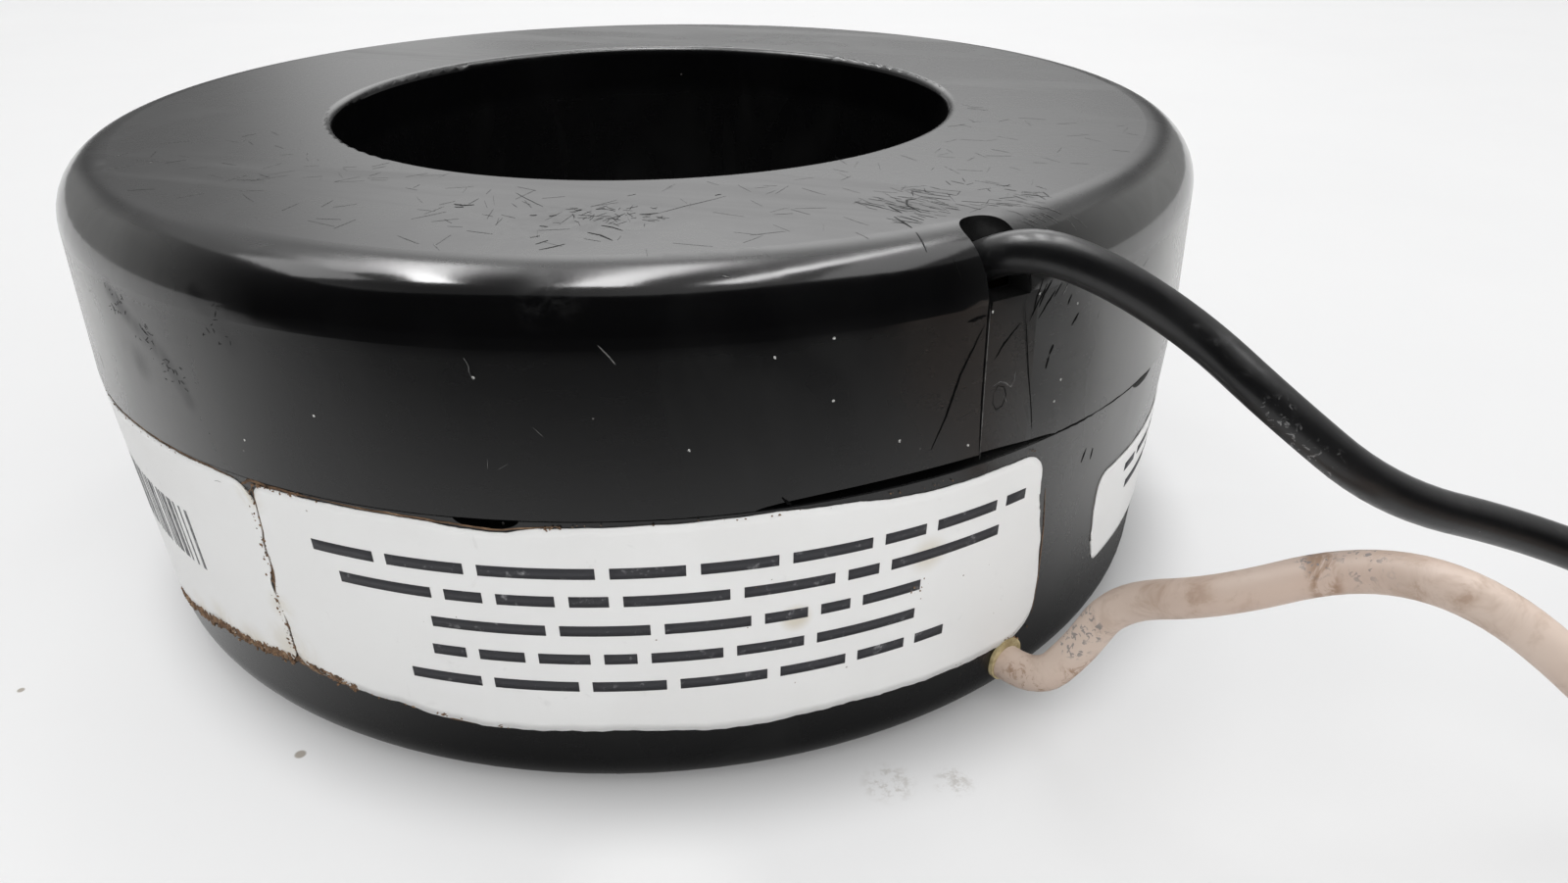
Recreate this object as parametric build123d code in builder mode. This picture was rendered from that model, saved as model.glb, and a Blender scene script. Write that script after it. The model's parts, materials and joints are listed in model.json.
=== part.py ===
"""Window-type current transformer with two flying leads.

Z is the axis of the window, z = 0 is the face that the case rests on, and the leads leave towards -Y and +X.
Azimuths are degrees about Z, counted from the front (-Y) towards +X. Lengths are millimetres.
"""

import math
import os

from build123d import *

# ---- case mouldings
window_radius = 31.75
case_width = 24.65
case_height = 45.7
seam_height = 27.7
seam_edge_break = 0.1
wall = 2.4
window_wall = 2.0
cover_draft = 1.0
base_draft = 3.6
base_step = 0.15
top_edge_radius = 5.0
bottom_edge_radius = 4.4
window_edge_radius = 0.8

# ---- lap joint between cover and base
lip_thickness = 1.0
lip_height = 2.5
lip_clearance = 0.1

# ---- gap where the cover stands off its seat, and two chips in the base's rim
seam_gap = 0.95
seam_gap_width = 27.0
seam_gap_azimuth = 20.0
chip_azimuths = (-13.5, 49.5)
chip_width = 4.9
chip_height = 0.9
chip_depth = 0.8

# ---- lead openings
lead_diameter = 3.2
lead_clearance = 0.25
cover_slot_clearance = 0.5
cover_slot_azimuth = 27.0
cover_slot_reach = 5.3
cover_slot_depth = 4.9
base_hole_azimuth = 32.0
base_hole_bottom = 3.0
base_hole_top = 7.2
glue_reach = 0.5

# ---- shut-off strip in the cover's wall under the slot
strip_azimuth = 27.5
strip_width = 4.9
strip_depth = 0.18
strip_turn = 3.0
strip_groove_top = 0.5
strip_groove_neck = 0.16
strip_groove_neck_drop = 2.2
strip_groove_bottom = 0.12
strip_groove_depth = 0.7

# ---- core and its insulating caps
core_window_gap = 3.25
core_outer_gap = 9.0
cap_thickness = 1.2
cap_joint_height = 16.0

# ---- secondary winding
turn_count = 10
turn_spacing = 30.0
first_turn_azimuth = 80.0
winding_wire = 1.6

# ---- packing inside the case
base_pad_thickness = 2.0
pad_margin = 0.8
disc_thickness = 0.8
notch_width = 7.0
cover_pad_start = 62.0
cover_pad_angle = 265.0

# ---- splices between winding and leads
splice_length = 12.0
splice_diameter = 3.4
sleeve_wall = 0.4
sleeve_length = 10.0
splice_wire_depth = 4.0
splice_bend = 5.5
lead_space_height = 6.5
black_splice_azimuth = 15.0
black_lead_inside = 9.0
white_lead_gap = 3.7
white_splice_bottom = 14.5

# ---- labels
label_thickness = 0.15
label_corner = 3.0
main_label_azimuth = 0.2
main_label_angle = 66.8
main_label_low = 7.3
main_label_seam_gap = 0.4
left_label_azimuth = -57.5
left_label_angle = 45.0
right_label_azimuth = 64.0
right_label_angle = 40.0
right_label_low = 9.5
right_label_seam_gap = 7.8
right_label_corner = 0.8

# ---- put-away coils of the leads
coil_radius = 18.0
coil_row_step = 3.3
coil_slack = 0.1
entry_stub = 12.0
tail_over_coil = 13.0
tail_drop = 8.0
tail_on_floor = 6.0
tip_length = 6.0
tip_diameter = 1.4
tie_width = 3.2
tie_thickness = 0.5
tie_head_width = 4.4
tie_head_height = 2.6

# ---- worked out from the sizes above
lead_radius = lead_diameter / 2
coil_lift = tie_thickness + coil_slack
coil_strand_height = coil_lift + lead_radius
wire_radius = winding_wire / 2
opening_width = lead_diameter + 2 * lead_clearance
cover_slot_width = lead_diameter + 2 * cover_slot_clearance
outer_radius = window_radius + case_width
cavity_floor = wall
cavity_top = case_height - wall
cavity_inner_radius = window_radius + window_wall
cover_slot_inner_radius = outer_radius - cover_slot_reach
cover_slot_floor = case_height - cover_slot_depth
cover_rise = case_height - seam_height
cover_top_radius = outer_radius - math.tan(math.radians(cover_draft)) * cover_rise
base_top_radius = outer_radius - base_step
main_label_high = seam_height - main_label_seam_gap
right_label_high = seam_height - right_label_seam_gap


def base_radius(z):
    """Outside radius of the base's tapering wall at a height."""
    return base_top_radius - math.tan(math.radians(base_draft)) * (seam_height - z)


def outward(azimuth):
    """Plane through the axis that faces outwards at an azimuth, with its x along the tangent and its y up."""
    a = math.radians(azimuth)
    return Plane(origin=(0, 0, 0), x_dir=(math.cos(a), math.sin(a), 0), z_dir=(math.sin(a), -math.cos(a), 0))


def at(radius, azimuth, z):
    """Point at a radius, azimuth and height."""
    a = math.radians(azimuth)
    return Vector(radius * math.sin(a), -radius * math.cos(a), z)


# ---- case_base: an annular cup with a draughted wall and two lips that locate the cover
lip_outer_radius = base_top_radius - wall + lip_thickness
window_lip_inner_radius = cavity_inner_radius - lip_thickness

with BuildPart() as case_base:
    with BuildSketch(Plane.XZ) as base_section:
        with BuildLine():
            Polyline(
                (window_radius, 0),
                (base_radius(0), 0),
                (base_top_radius, seam_height),
                (window_radius, seam_height),
                close=True,
            )
        make_face()
        foot_corners = base_section.vertices().group_by(Axis.Y)[0].sort_by(Axis.X)
        fillet(foot_corners[-1], bottom_edge_radius)
        foot_corners = base_section.vertices().group_by(Axis.Y)[0].sort_by(Axis.X)
        fillet(foot_corners[0], window_edge_radius)
        rim_corners = base_section.vertices().group_by(Axis.Y)[-1].sort_by(Axis.X)
        chamfer(rim_corners[-1], seam_edge_break)
        with BuildSketch(mode=Mode.SUBTRACT) as base_cavity:
            with BuildLine():
                Polyline(
                    (cavity_inner_radius, cavity_floor),
                    (base_radius(cavity_floor) - wall, cavity_floor),
                    (base_top_radius - wall, seam_height),
                    (cavity_inner_radius, seam_height),
                    close=True,
                )
            make_face()
            floor_corners = base_cavity.vertices().group_by(Axis.Y)[0].sort_by(Axis.X)
            fillet(floor_corners[-1], bottom_edge_radius - wall)
        with Locations((base_top_radius - wall, seam_height)):
            Rectangle(lip_thickness, lip_height, align=(Align.MIN, Align.MIN))
        with Locations((window_lip_inner_radius, seam_height)):
            Rectangle(lip_thickness, lip_height, align=(Align.MIN, Align.MIN))
    revolve(axis=Axis.Z)
    # hole for the lower lead, with rounded ends
    with BuildSketch(outward(base_hole_azimuth).offset(base_radius(0) - 2 * wall)):
        with Locations((0, (base_hole_bottom + base_hole_top) / 2)):
            SlotOverall(base_hole_top - base_hole_bottom, opening_width, rotation=90)
    extrude(amount=4 * wall, mode=Mode.SUBTRACT)
    # chips broken from the rim
    for chip_azimuth in chip_azimuths:
        with BuildSketch(outward(chip_azimuth).offset(base_top_radius - chip_depth)):
            with Locations((0, seam_height)):
                Ellipse(chip_width / 2, chip_height)
        extrude(amount=2 * chip_depth, mode=Mode.SUBTRACT)
case_base.part.label = "case_base"

# ---- case_cover: an annular cap, rebated over the base's lips, with a slot through its rounded edge
groove_side = -strip_width / 2
strip_face = outward(strip_azimuth)

with BuildPart() as case_cover:
    with BuildSketch(Plane.XZ) as cover_section:
        with BuildLine():
            Polyline(
                (window_radius, seam_height),
                (outer_radius, seam_height),
                (cover_top_radius, case_height),
                (window_radius, case_height),
                close=True,
            )
        make_face()
        top_corners = cover_section.vertices().group_by(Axis.Y)[-1].sort_by(Axis.X)
        fillet(top_corners[-1], top_edge_radius)
        top_corners = cover_section.vertices().group_by(Axis.Y)[-1].sort_by(Axis.X)
        fillet(top_corners[0], window_edge_radius)
        rim_corners = cover_section.vertices().group_by(Axis.Y)[0].sort_by(Axis.X)
        chamfer(rim_corners[-1], seam_edge_break)
        with BuildSketch(mode=Mode.SUBTRACT) as cover_cavity:
            with BuildLine():
                Polyline(
                    (cavity_inner_radius, seam_height),
                    (outer_radius - wall, seam_height),
                    (cover_top_radius - wall, cavity_top),
                    (cavity_inner_radius, cavity_top),
                    close=True,
                )
            make_face()
            roof_corners = cover_cavity.vertices().group_by(Axis.Y)[-1].sort_by(Axis.X)
            fillet(roof_corners[-1], top_edge_radius - wall)
        with Locations((lip_outer_radius + lip_clearance, seam_height)):
            Rectangle(
                2 * lip_thickness,
                lip_height + lip_clearance,
                align=(Align.MAX, Align.MIN),
                mode=Mode.SUBTRACT,
            )
        with Locations((window_lip_inner_radius - lip_clearance, seam_height)):
            Rectangle(
                2 * lip_thickness,
                lip_height + lip_clearance,
                align=(Align.MIN, Align.MIN),
                mode=Mode.SUBTRACT,
            )
    revolve(axis=Axis.Z)
    # slot for the upper lead, arched at its inner end and open at the rounded edge
    slot_plane = outward(cover_slot_azimuth)
    with BuildSketch(Plane(origin=(0, 0, cover_slot_floor), x_dir=slot_plane.z_dir, z_dir=(0, 0, 1))):
        with Locations((cover_slot_inner_radius + cover_slot_width / 2, 0)):
            Circle(cover_slot_width / 2)
            Rectangle(2 * cover_slot_reach, cover_slot_width, align=(Align.MIN, Align.CENTER))
    extrude(amount=case_height, mode=Mode.SUBTRACT)
    # strip of the shut-off under the slot, turned so that its left side lies deeper, and the groove there
    strip_plane = Plane(
        origin=at(outer_radius - strip_depth, strip_azimuth, seam_height),
        x_dir=at(1, strip_azimuth - strip_turn + 90, 0),
        z_dir=at(1, strip_azimuth - strip_turn, math.tan(math.radians(cover_draft))),
    )
    with BuildSketch(strip_plane):
        strip_length = cover_slot_floor - seam_height + strip_depth
        Rectangle(strip_width, strip_length, align=(Align.CENTER, Align.MIN))
    extrude(amount=wall, mode=Mode.SUBTRACT)
    with BuildSketch(strip_face.offset(outer_radius - strip_groove_depth)):
        with BuildLine():
            Polyline(
                (groove_side, seam_height),
                (groove_side + strip_groove_bottom, seam_height),
                (groove_side + strip_groove_neck, cover_slot_floor - strip_groove_neck_drop),
                (groove_side + strip_groove_top, cover_slot_floor),
                (groove_side, cover_slot_floor),
                close=True,
            )
        make_face()
    extrude(amount=2 * strip_groove_depth, mode=Mode.SUBTRACT)
    # long shallow gap under the cover's edge
    with BuildSketch(outward(seam_gap_azimuth).offset(lip_outer_radius + lip_clearance - wall / 2)):
        with Locations((0, seam_height)):
            Ellipse(seam_gap_width / 2, seam_gap)
    extrude(amount=2 * wall, mode=Mode.SUBTRACT)

# ---- core, a tape-wound ring inside two insulating caps with rounded edges
base_pad_top = cavity_floor + base_pad_thickness
cap_bottom = base_pad_top + winding_wire
core_bottom = cap_bottom + cap_thickness
disc_top = cavity_top - lead_space_height
winding_top = disc_top - disc_thickness
cap_top = winding_top - winding_wire
core_top = cap_top - cap_thickness
core_height = core_top - core_bottom
core_inner_radius = cavity_inner_radius + core_window_gap
core_outer_radius = outer_radius - wall - core_outer_gap
cap_inner_radius = core_inner_radius - cap_thickness
cap_outer_radius = core_outer_radius + cap_thickness

with BuildPart() as toroid_core:
    with BuildSketch(Plane.XY.offset(core_bottom)):
        Circle(core_outer_radius)
        Circle(core_inner_radius, mode=Mode.SUBTRACT)
    extrude(amount=core_height)
toroid_core.part.label = "toroid_core"


def insulating_cap(closed_end, open_end):
    """Half of the core's insulating case: a channel ring with its closed end's edges rounded."""
    low = min(closed_end, open_end)
    height = abs(open_end - closed_end)
    with BuildPart() as cap:
        with BuildSketch(Plane.XY.offset(low)):
            Circle(cap_outer_radius)
            Circle(cap_inner_radius, mode=Mode.SUBTRACT)
        extrude(amount=height)
        end_face = cap.faces().filter_by(Plane.XY).sort_by(Axis.Z)[0 if closed_end < open_end else -1]
        fillet(end_face.edges(), cap_thickness)
        with BuildSketch(Plane.XY.offset(core_bottom)):
            Circle(core_outer_radius)
            Circle(core_inner_radius, mode=Mode.SUBTRACT)
        extrude(amount=core_height, mode=Mode.SUBTRACT)
    return cap


core_cap_lower = insulating_cap(cap_bottom, core_bottom + cap_joint_height)
core_cap_lower.part.label = "core_cap_lower"
core_cap_upper = insulating_cap(cap_top, core_bottom + cap_joint_height)
core_cap_upper.part.label = "core_cap_upper"

# ---- leads: hand-chosen routes from the splice inside the case, out and down to the floor
splice_height = disc_top + splice_diameter / 2 + sleeve_wall
black_splice_heading = -outward(black_splice_azimuth).x_dir
black_feed = at(cap_outer_radius + winding_wire / 2, cover_slot_azimuth, splice_height)
white_feed_radius = outer_radius - wall - white_lead_gap
white_feed_height = base_hole_bottom + lead_radius + 2 * lead_clearance


def beyond(reach, azimuth, z):
    """Point that lies a distance outside the case's outer radius."""
    return at(outer_radius + reach, azimuth, z)


black_route = [
    black_feed + black_splice_heading * black_lead_inside,
    black_feed,
    beyond(-0.2, cover_slot_azimuth, case_height - 0.7),
    beyond(3.9, 30.9, case_height - 2.0),
    beyond(8.7, 36.7, case_height - 7.0),
    beyond(15.6, 37.2, 34.6),
    beyond(22.7, 41.4, 27.6),
    beyond(30.7, 48.2, 23.2),
    beyond(39.4, 50.9, 19.7),
    beyond(49.1, 50.6, 8.8),
    beyond(57.5, 51.4, coil_strand_height),
    beyond(65.0, 53.0, coil_strand_height),
]
white_route = [
    at(white_feed_radius, base_hole_azimuth, white_splice_bottom),
    at(white_feed_radius, base_hole_azimuth, white_feed_height),
    beyond(2.3, base_hole_azimuth, 4.5),
    beyond(4.7, 34.0, 8.6),
    beyond(7.2, 34.6, 14.9),
    beyond(15.7, 34.2, 19.8),
    beyond(22.6, 38.8, 23.4),
    beyond(30.6, 37.8, 26.0),
    beyond(38.3, 39.4, 21.1),
    beyond(47.2, 41.0, 12.1),
    beyond(56.8, 38.2, coil_strand_height),
    beyond(66.9, 37.2, coil_strand_height),
]


def corner_radii(points, share=0.45):
    """The bend radius at each corner: a share of the shorter run over the tangent of half the turn."""
    radii = []
    for before, corner, after in zip(points, points[1:], points[2:]):
        run_in = corner - before
        run_out = after - corner
        half_turn = math.radians(run_in.get_angle(run_out)) / 2
        radii.append(share * min(run_in.length, run_out.length) / math.tan(half_turn))
    return radii


def round_wire(points, diameter, radii):
    """A round wire along straight runs joined by tangent arcs, and the length of its path."""
    with BuildPart() as wire:
        with BuildLine() as path:
            FilletPolyline(*points, radius=radii)
        with BuildSketch(Plane(origin=points[0], z_dir=points[1] - points[0])):
            Circle(diameter / 2)
        sweep()
    return wire, path.wires()[0].length


def report_wire(name, wire, length, diameter, radii):
    """Prints a wire's bends, and its volume beside that of a straight wire of its length."""
    straight = math.pi * diameter**2 / 4 * length
    bends = ", ".join(f"{r:.1f}" for r in radii)
    print(f"{name}: length {length:.1f}, volume {wire.part.volume:.1f} of {straight:.1f}, radii {bends}")


black_radii = corner_radii(black_route)
black_lead, black_length = round_wire(black_route, lead_diameter, black_radii)
black_lead.part.label = "black_lead"
report_wire("black_lead", black_lead, black_length, lead_diameter, black_radii)
white_radii = corner_radii(white_route)
white_lead, white_length = round_wire(white_route, lead_diameter, white_radii)
white_lead.part.label = "white_lead"
report_wire("white_lead", white_lead, white_length, lead_diameter, white_radii)

# round passage that lets the upper lead rise into the slot
with case_cover:
    feed_plane = Plane(origin=black_route[1], z_dir=black_route[2] - black_route[1])
    with BuildSketch(feed_plane):
        Circle(opening_width / 2)
    extrude(amount=(black_route[2] - black_route[1]).length, mode=Mode.SUBTRACT)
case_cover.part.label = "case_cover"

# ---- splices: a crimp barrel and a shrunk sleeve on each lead's inner end
white_splice_heading = Vector(0, 0, 1)


def splice(start, heading):
    """A crimp barrel that goes on in line from a lead's inner end, and the sleeve shrunk over it."""
    plane = Plane(origin=start, z_dir=heading)
    with BuildPart() as barrel:
        with BuildSketch(plane):
            Circle(splice_diameter / 2)
        extrude(amount=splice_length)
        with BuildSketch(plane.offset(splice_length - splice_wire_depth)):
            Circle(wire_radius)
        extrude(amount=splice_wire_depth, mode=Mode.SUBTRACT)
    with BuildPart() as sleeve:
        with BuildSketch(plane.offset((splice_length - sleeve_length) / 2)):
            Circle(splice_diameter / 2 + sleeve_wall)
            Circle(splice_diameter / 2, mode=Mode.SUBTRACT)
        extrude(amount=sleeve_length)
    return barrel, sleeve


black_splice, black_splice_sleeve = splice(black_route[0], black_splice_heading)
black_splice.part.label = "black_splice"
black_splice_sleeve.part.label = "black_splice_sleeve"
white_splice, white_splice_sleeve = splice(white_route[0], white_splice_heading)
white_splice.part.label = "white_splice"
white_splice_sleeve.part.label = "white_splice_sleeve"

# ---- secondary winding: one wire that passes through the window side ten times
inner_line = cap_inner_radius - wire_radius
outer_line = cap_outer_radius + wire_radius
winding_outer_radius = outer_line + wire_radius
low_line = cap_bottom - wire_radius
high_line = cap_top + wire_radius
turn_bend = cap_thickness + wire_radius
last_turn_azimuth = first_turn_azimuth + turn_spacing * (turn_count - 1)
socket = splice_length - splice_wire_depth

winding_route = [
    white_route[0] + white_splice_heading * socket,
    white_route[0] + white_splice_heading * (splice_length + splice_bend),
    at(outer_line, first_turn_azimuth - turn_spacing, high_line - 3 * winding_wire),
    at(outer_line, first_turn_azimuth - turn_spacing, low_line),
]
for turn in range(turn_count):
    turn_azimuth = first_turn_azimuth + turn_spacing * turn
    winding_route += [
        at(inner_line, turn_azimuth, low_line),
        at(inner_line, turn_azimuth, high_line),
    ]
    if turn < turn_count - 1:
        winding_route += [
            at(outer_line, turn_azimuth, high_line),
            at(outer_line, turn_azimuth, low_line),
        ]
winding_route += [
    at(outer_line - 3 * winding_wire, last_turn_azimuth, high_line),
    black_route[0] + black_splice_heading * (splice_length + splice_bend),
    black_route[0] + black_splice_heading * socket,
]
winding_radii = [min(turn_bend, r) for r in corner_radii(winding_route)]
secondary_winding, winding_length = round_wire(winding_route, winding_wire, winding_radii)
secondary_winding.part.label = "secondary_winding"
report_wire("secondary_winding", secondary_winding, winding_length, winding_wire, sorted(set(winding_radii))[:3])

# ---- pads and disc that pack the wound core in the case
with BuildPart() as base_pad:
    with BuildSketch(Plane.XY.offset(cavity_floor)):
        Circle(winding_outer_radius)
        Circle(cavity_inner_radius + pad_margin, mode=Mode.SUBTRACT)
    extrude(amount=base_pad_thickness)
base_pad.part.label = "base_pad"

with BuildPart() as insulating_disc:
    with BuildSketch(Plane.XY.offset(winding_top)):
        Circle(winding_outer_radius)
        Circle(cavity_inner_radius + pad_margin, mode=Mode.SUBTRACT)
    extrude(amount=disc_thickness)
    # notch that lets the winding's end come up to its splice
    with BuildSketch(outward(last_turn_azimuth).offset(outer_line - 4 * winding_wire)):
        with Locations((0, winding_top)):
            Rectangle(notch_width, 2 * disc_thickness, align=(Align.CENTER, Align.CENTER))
    extrude(amount=wall * 4, mode=Mode.SUBTRACT)
insulating_disc.part.label = "insulating_disc"

with BuildPart() as cover_pad:
    with BuildSketch(outward(cover_pad_start - 90)):
        with BuildLine():
            Polyline(
                (cavity_inner_radius + pad_margin, disc_top),
                (winding_outer_radius, disc_top),
                (winding_outer_radius, cavity_top),
                (cavity_inner_radius + pad_margin, cavity_top),
                close=True,
            )
        make_face()
    revolve(axis=Axis.Z, revolution_arc=cover_pad_angle)
cover_pad.part.label = "cover_pad"

# ---- glue that seals the lower lead into its hole
with BuildPart() as white_lead_glue:
    with BuildSketch(outward(base_hole_azimuth).offset(base_radius(base_hole_bottom) - wall)):
        with Locations((0, (base_hole_bottom + base_hole_top) / 2)):
            SlotOverall(base_hole_top - base_hole_bottom, opening_width, rotation=90)
    extrude(amount=wall + glue_reach)
    add(white_lead.part, mode=Mode.SUBTRACT)
white_lead_glue.part.label = "white_lead_glue"


# ---- labels: thin skins on the base's tapering wall
def wall_label(azimuth, angle, low, high, corner):
    """A thin label wrapped on the base's wall, with rounded corners."""
    with BuildPart() as label:
        with BuildSketch(Plane.XZ):
            with BuildLine():
                Polyline(
                    (base_radius(low), low),
                    (base_radius(low) + label_thickness, low),
                    (base_radius(high) + label_thickness, high),
                    (base_radius(high), high),
                    close=True,
                )
            make_face()
        revolve(axis=Axis.Z)
        with BuildSketch(outward(azimuth)):
            with Locations((0, (low + high) / 2)):
                chord = 2 * base_radius(high) * math.sin(math.radians(angle / 2))
                RectangleRounded(chord, high - low, corner)
        extrude(amount=2 * outer_radius, mode=Mode.INTERSECT)
    return label


main_label = wall_label(main_label_azimuth, main_label_angle, main_label_low, main_label_high, label_corner)
main_label.part.label = "main_label"
left_label = wall_label(left_label_azimuth, left_label_angle, main_label_low, main_label_high, label_corner)
left_label.part.label = "left_label"
right_label = wall_label(
    right_label_azimuth, right_label_angle, right_label_low, right_label_high, right_label_corner
)
right_label.part.label = "right_label"

# ---- put-away coils: the outer shape of five strands, three below and two above, with a stub at each end
coil_half_width = coil_row_step + lead_radius
coil_upper_half_width = coil_row_step / 2 + lead_radius
coil_row_height = coil_row_step * math.sin(math.radians(60))
coil_height = coil_row_height + lead_diameter
tail_side = coil_row_step / 2


def coil_section(plane, grow):
    """Face around the bundled strands in a plane through the coil's axis, standing off them by a distance."""
    with BuildSketch(plane) as section:
        with BuildLine():
            Polyline(
                (coil_radius - coil_half_width - grow, coil_lift - grow),
                (coil_radius + coil_half_width + grow, coil_lift - grow),
                (coil_radius + coil_half_width + grow, coil_strand_height),
                (coil_radius + coil_upper_half_width + grow, coil_lift + coil_height + grow),
                (coil_radius - coil_upper_half_width - grow, coil_lift + coil_height + grow),
                (coil_radius - coil_half_width - grow, coil_strand_height),
                close=True,
            )
        make_face()
    return section


def put_away_coil(route):
    """A lead's coil, laid in left-hand turns where its route ends, with the bare tip and the tie."""
    end = route[-1]
    heading = (end - route[-2]).normalized()
    across = Vector(-heading.Y, heading.X, 0)
    up = Vector(0, 0, 1)
    entry = end + heading * entry_stub
    middle = entry + across * (coil_radius + coil_row_step)
    centre = Vector(middle.X, middle.Y, 0)
    axis = Axis(centre, up)
    # the tail leaves a quarter turn on from the entry, over the outer strand, and comes down to the floor
    tail_start = centre + heading * (coil_radius + coil_row_step / 2)
    over_end = tail_start + across * tail_over_coil
    floor_start = over_end + across * tail_drop
    tail_route = [
        tail_start + up * (coil_strand_height + coil_row_height),
        over_end + up * (coil_strand_height + coil_row_height),
        floor_start + up * coil_strand_height,
        floor_start + across * tail_on_floor + up * coil_strand_height,
    ]
    tail, _ = round_wire(tail_route, lead_diameter, corner_radii(tail_route))
    with BuildPart() as coil:
        section = coil_section(Plane(origin=centre, x_dir=across, z_dir=across.cross(up)), coil_slack)
        revolve(section.sketch, axis=axis)
        with BuildSketch(Plane(origin=end, z_dir=heading)):
            Circle(lead_radius)
        extrude(amount=entry_stub)
        add(tail.part)
    with BuildPart() as tip:
        with BuildSketch(Plane(origin=tail_route[-1], z_dir=across)):
            Circle(tip_diameter / 2)
        extrude(amount=tip_length)
    # the tie sits an eighth of a turn on from the entry, where all five strands run side by side
    half_angle = math.degrees(tie_width / 2 / coil_radius)
    tie_direction = (heading - across).normalized()
    tie_side = tie_direction.rotate(Axis.Z, -half_angle)
    tie_plane = Plane(origin=centre, x_dir=tie_side, z_dir=tie_side.cross(up))
    with BuildPart() as tie:
        section = coil_section(tie_plane, coil_slack + tie_thickness)
        revolve(section.sketch, axis=axis, revolution_arc=2 * half_angle)
        with BuildSketch(Plane(origin=centre + tie_direction * coil_radius, x_dir=tie_direction, z_dir=up)):
            Rectangle(tie_head_width, tie_width)
        extrude(amount=coil_lift + coil_height + tie_head_height)
        add(coil.part, mode=Mode.SUBTRACT)
    return coil, tip, tie


black_lead_coil, black_lead_tip, black_lead_tie = put_away_coil(black_route)
black_lead_coil.part.label = "black_lead_coil"
black_lead_tip.part.label = "black_lead_tip"
black_lead_tie.part.label = "black_lead_tie"
white_lead_coil, white_lead_tip, white_lead_tie = put_away_coil(white_route)
white_lead_coil.part.label = "white_lead_coil"
white_lead_tip.part.label = "white_lead_tip"
white_lead_tie.part.label = "white_lead_tie"

pieces = [
    case_base,
    case_cover,
    toroid_core,
    core_cap_lower,
    core_cap_upper,
    secondary_winding,
    base_pad,
    insulating_disc,
    cover_pad,
    black_splice,
    black_splice_sleeve,
    white_splice,
    white_splice_sleeve,
    black_lead,
    white_lead,
    white_lead_glue,
    main_label,
    left_label,
    right_label,
    black_lead_coil,
    black_lead_tip,
    black_lead_tie,
    white_lead_coil,
    white_lead_tip,
    white_lead_tie,
]
os.makedirs("parts", exist_ok=True)
for piece in pieces:
    export_step(piece.part, f"parts/{piece.part.label}.step")
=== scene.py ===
"""Looks of a window-type current transformer: moulded case, labels, leads, put-away coils and stage.

Lengths are metres. Azimuths are degrees about Z, counted from the front (-Y) towards +X.
"""
import json
import math
import random

import bmesh
import bpy
from mathutils import Matrix, Quaternion, Vector


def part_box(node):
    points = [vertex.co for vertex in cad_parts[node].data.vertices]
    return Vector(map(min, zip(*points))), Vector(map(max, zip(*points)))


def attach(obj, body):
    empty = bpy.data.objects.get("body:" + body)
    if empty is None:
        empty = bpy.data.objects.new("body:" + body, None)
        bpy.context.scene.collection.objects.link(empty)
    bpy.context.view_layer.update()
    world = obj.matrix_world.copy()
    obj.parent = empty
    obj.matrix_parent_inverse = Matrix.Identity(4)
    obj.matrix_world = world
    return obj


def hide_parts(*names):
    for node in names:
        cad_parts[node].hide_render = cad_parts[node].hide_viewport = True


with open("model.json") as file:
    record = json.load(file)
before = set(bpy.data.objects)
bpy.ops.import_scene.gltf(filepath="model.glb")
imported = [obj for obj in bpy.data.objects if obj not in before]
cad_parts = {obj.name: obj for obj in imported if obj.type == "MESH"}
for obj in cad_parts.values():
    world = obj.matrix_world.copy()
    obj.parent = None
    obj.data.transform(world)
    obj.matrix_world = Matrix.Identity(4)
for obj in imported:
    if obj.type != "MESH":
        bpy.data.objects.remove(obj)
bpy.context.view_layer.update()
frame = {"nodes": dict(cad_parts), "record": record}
nodes = frame["nodes"]

# ---- sizes, from the frame where it gives them
case_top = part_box("case_cover")[1].z
outer_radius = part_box("case_cover")[1].x
seam_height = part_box("case_cover")[0].z
cover_draft = math.radians(1)
base_draft = math.radians(3.6)
base_step = 0.00015
top_edge_radius = 0.005
strip_azimuth = 27.5
strip_depth = 0.00018
strip_turn = math.radians(3)
lead_diameter = 0.0032
lead_radius = lead_diameter / 2
slot_azimuth = 27
hole_azimuth = 32
hole_height = 0.005


def at(radius, azimuth, z):
    """Point at a radius, azimuth and height."""
    a = math.radians(azimuth)
    return Vector((radius * math.sin(a), -radius * math.cos(a), z))


def beyond(reach, azimuth, z):
    """Point that lies a distance outside the case's outer radius."""
    return at(outer_radius + reach, azimuth, z)


def base_radius(z):
    """Outside radius of the base's tapering wall at a height."""
    return outer_radius - base_step - math.tan(base_draft) * (seam_height - z)


def cover_radius(z):
    """Outside radius of the cover's wall at a height."""
    return outer_radius - math.tan(cover_draft) * (z - seam_height)


shoulder_height = case_top - top_edge_radius
shoulder_radius = cover_radius(shoulder_height) - top_edge_radius / math.cos(cover_draft)


def side(azimuth, z, lift=0):
    """Point on the case's outer wall or its rounded top edge at a height, lifted off it."""
    if z < seam_height:
        radius = base_radius(z)
    elif z < shoulder_height:
        radius = cover_radius(z)
    else:
        radius = shoulder_radius + math.sqrt(top_edge_radius**2 - (z - shoulder_height) ** 2)
    return at(radius + lift, azimuth, z)


def top(azimuth, radius, lift=0):
    """Point on the cover's top face or its rounded edge at a radius, lifted off it."""
    past = max(0, radius - shoulder_radius)
    return at(radius, azimuth, shoulder_height + math.sqrt(top_edge_radius**2 - past**2) + lift)


def strip(azimuth, z, lift=0):
    """Point on the flat strip under the cover's slot, lifted off it."""
    across = outer_radius * math.sin(math.radians(azimuth - strip_azimuth))
    out = cover_radius(z) - strip_depth + math.tan(strip_turn) * across
    return at(out + lift, strip_azimuth, z) + at(across, strip_azimuth + 90, 0)


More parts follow.
